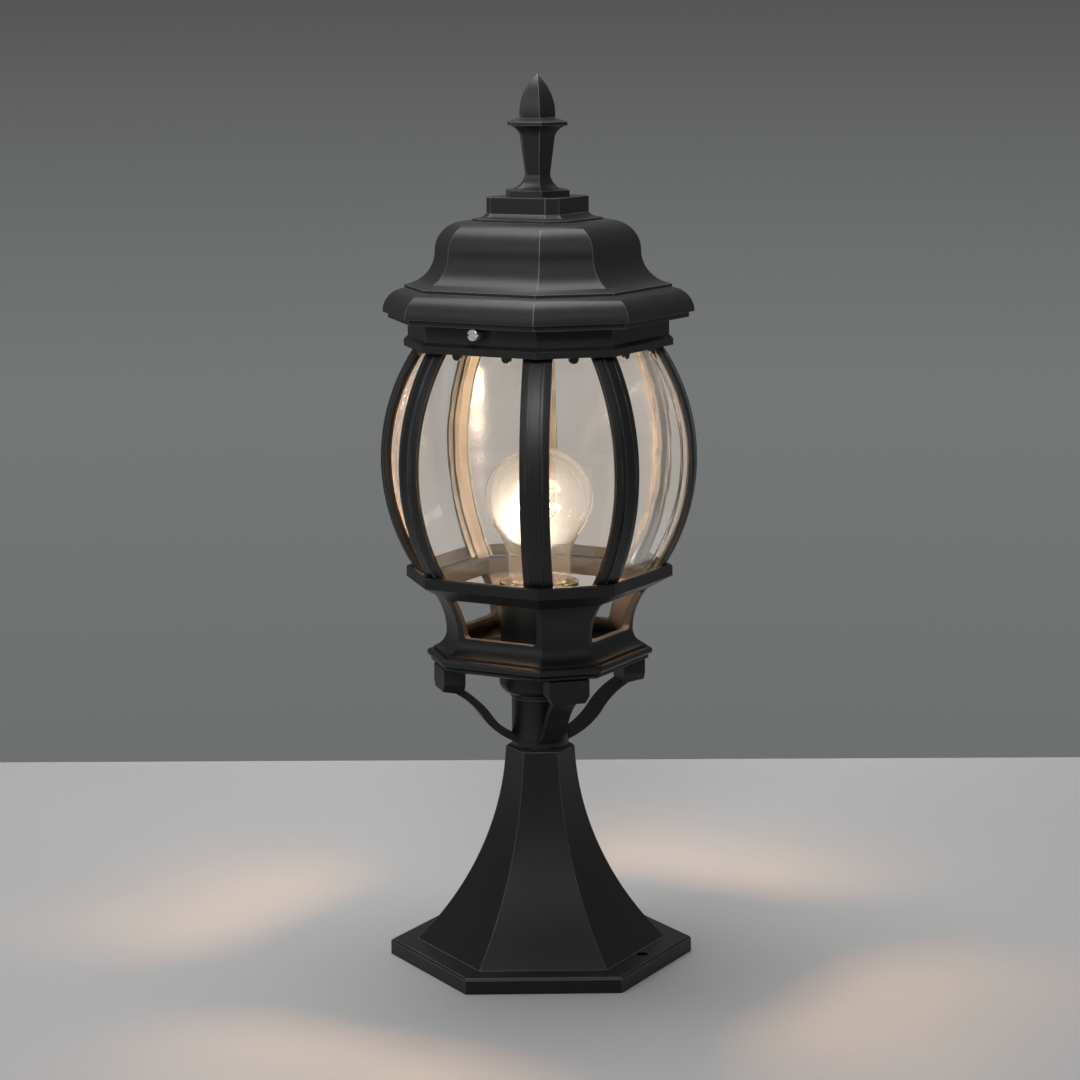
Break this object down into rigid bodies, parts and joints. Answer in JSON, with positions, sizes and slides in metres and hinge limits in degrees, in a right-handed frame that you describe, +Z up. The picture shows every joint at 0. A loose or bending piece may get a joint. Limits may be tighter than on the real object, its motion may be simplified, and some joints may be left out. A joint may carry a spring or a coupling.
{
  "type": "pedestal lamp",
  "caption": "Outdoor pedestal lamp: flared hexagonal foot, stem with scroll arms and an octagonal lantern with bent clear panes, a lift-off ogee roof and a spire, lit by a screw-in bulb.",
  "frame": {"origin": "centre of the foot's underside, on the plane the lamp stands on", "axes": "+Z up the lamp's axis to the tip of the finial, +X through one mounting hole, -Y out of the lantern's front face with the clamp screw"},
  "size_m": [0.1594, 0.1732, 0.5009],
  "materials": {
    "black_coated_aluminium": "satin black powder coat on cast aluminium",
    "clear_pane_glass": "clear bent glass",
    "clear_bulb_glass": "clear blown glass",
    "zinc_plated_steel": "bright zinc plate",
    "nickel_plated_brass": "nickel plate on brass",
    "brass": "plain brass",
    "black_holder_plastic": "black thermoset",
    "white_ceramic": "glazed white steatite",
    "tungsten_filament": "glowing tungsten",
    "terminal_plastic": "white polyamide",
    "lead_sheath": "black rubber sheath"
  },
  "bodies": {
    "pedestal": {"bracket_screws": "zinc_plated_steel", "centre_contact": "brass", "frieze_ring": "black_coated_aluminium", "gallery": "black_coated_aluminium", "lamp_lead": "lead_sheath", "lampholder_insert": "white_ceramic", "lampholder_shell": "black_holder_plastic", "pane_1": "clear_pane_glass", "pane_2": "clear_pane_glass", "pane_3": "clear_pane_glass", "pane_4": "clear_pane_glass", "pane_5": "clear_pane_glass", "pane_6": "clear_pane_glass", "pane_7": "clear_pane_glass", "pane_8": "clear_pane_glass", "pedestal_base": "black_coated_aluminium", "rib_1": "black_coated_aluminium", "rib_2": "black_coated_aluminium", "rib_3": "black_coated_aluminium", "rib_4": "black_coated_aluminium", "rib_5": "black_coated_aluminium", "rib_6": "black_coated_aluminium", "rib_7": "black_coated_aluminium", "rib_8": "black_coated_aluminium", "screw_shell": "nickel_plated_brass", "scroll_bracket": "black_coated_aluminium", "stem": "black_coated_aluminium", "terminal_block": "terminal_plastic", "terminal_bracket": "zinc_plated_steel", "terminal_screws": "brass", "threaded_tube": "zinc_plated_steel", "tube_nut_lower": "zinc_plated_steel", "tube_nut_upper": "zinc_plated_steel", "tube_washer_lower": "zinc_plated_steel"},
    "roof": {"roof": "black_coated_aluminium", "roof_skirt": "black_coated_aluminium", "finial": "black_coated_aluminium", "finial_nut": "zinc_plated_steel", "finial_washer": "zinc_plated_steel"},
    "roof_screw_front": {"roof_screw_front": "zinc_plated_steel"},
    "roof_screw_back": {"roof_screw_back": "zinc_plated_steel"},
    "bulb": {"bulb_cap": "nickel_plated_brass", "bulb_envelope": "clear_bulb_glass", "bulb_mount": "clear_bulb_glass", "filament": "tungsten_filament", "filament_supports": "tungsten_filament"}
  },
  "joints": [
    {"name": "roof_lift", "type": "slide", "parent": "pedestal", "child": "roof", "axis": [0, 0, 1], "range_m": [0, 0.12]},
    {"name": "front_screw_travel", "type": "slide", "parent": "pedestal", "child": "roof_screw_front", "axis": [0, -1, 0], "range_m": [0, 0.0025]},
    {"name": "back_screw_travel", "type": "slide", "parent": "pedestal", "child": "roof_screw_back", "axis": [0, 1, 0], "range_m": [0, 0.0025]},
    {"name": "bulb_draw", "type": "slide", "parent": "pedestal", "child": "bulb", "axis": [0, 0, 1], "range_m": [0, 0.028]}
  ]
}
